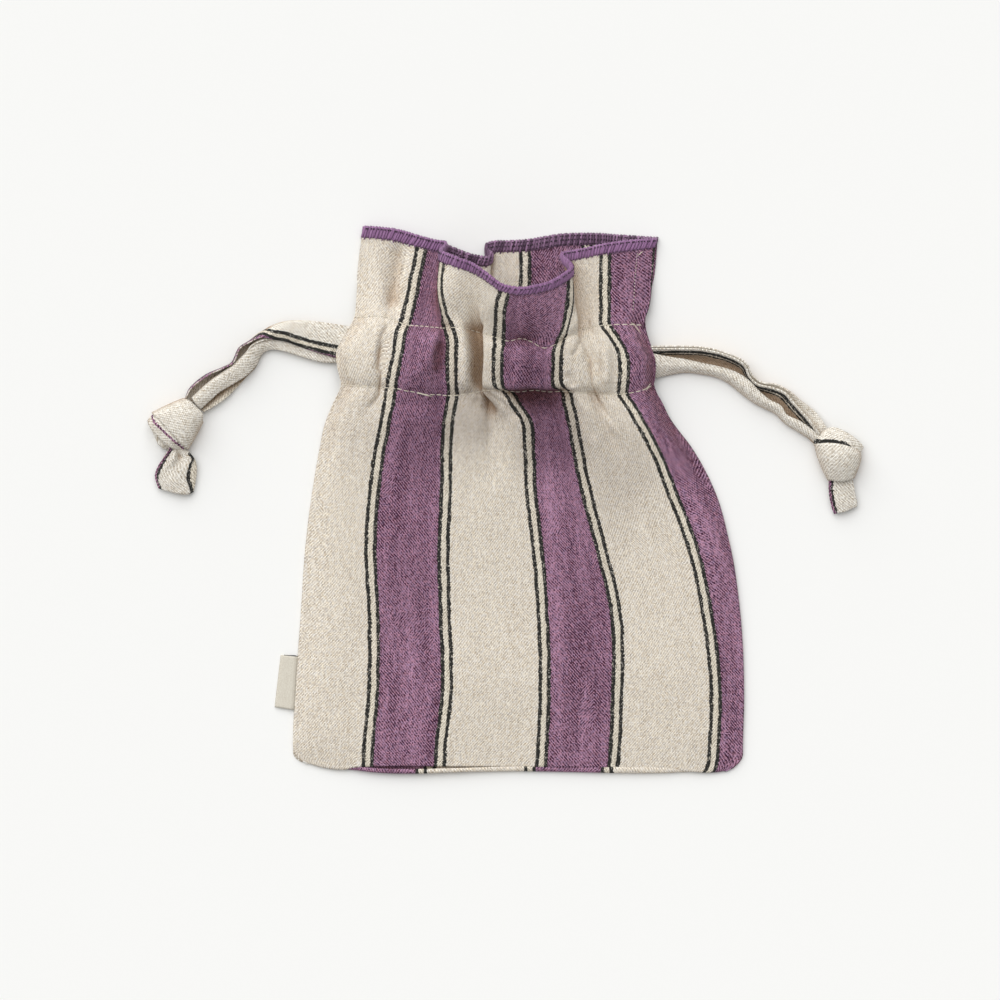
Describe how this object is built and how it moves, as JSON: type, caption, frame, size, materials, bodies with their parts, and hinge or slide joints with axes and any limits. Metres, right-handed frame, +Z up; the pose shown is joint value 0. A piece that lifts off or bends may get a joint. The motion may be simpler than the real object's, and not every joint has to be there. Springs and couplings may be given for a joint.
{
  "type": "drawstring pouch",
  "caption": "Small flat drawstring pouch of striped linen, gathered at the neck, with knotted tape cords at both sides and a ruffled, overcast mouth",
  "frame": {"origin": "on the surface the pouch lies on, under the middle of the pouch without its free cord ends", "axes": "+X to the viewer's right across the pouch, +Y from the bottom seam to the mouth, +Z up from the back panel to the front panel"},
  "size_m": [0.2577, 0.197, 0.0279],
  "materials": {
    "striped_linen": "matt twill with purple stripes between black-edged white bands",
    "plain_linen": "matt plain weave",
    "overcast_thread": "matt purple thread",
    "cord_tape": "matt folded tape of the striped linen",
    "label_weave": "matt woven tape, left blank"
  },
  "bodies": {
    "root": {"front_panel": "striped_linen", "back_panel": "striped_linen", "front_casing_strip": "plain_linen", "back_casing_strip": "plain_linen", "front_hem_overlock": "overcast_thread", "back_hem_overlock": "overcast_thread", "left_cord_loop": "cord_tape", "right_cord_loop": "cord_tape", "left_cord_under": "cord_tape", "left_cord_over": "cord_tape", "right_cord_under": "cord_tape", "right_cord_over": "cord_tape", "left_cord_knot": "cord_tape", "right_cord_knot": "cord_tape", "left_cord_tail": "cord_tape", "right_cord_tail": "cord_tape", "side_label": "label_weave"}
  },
  "joints": []
}
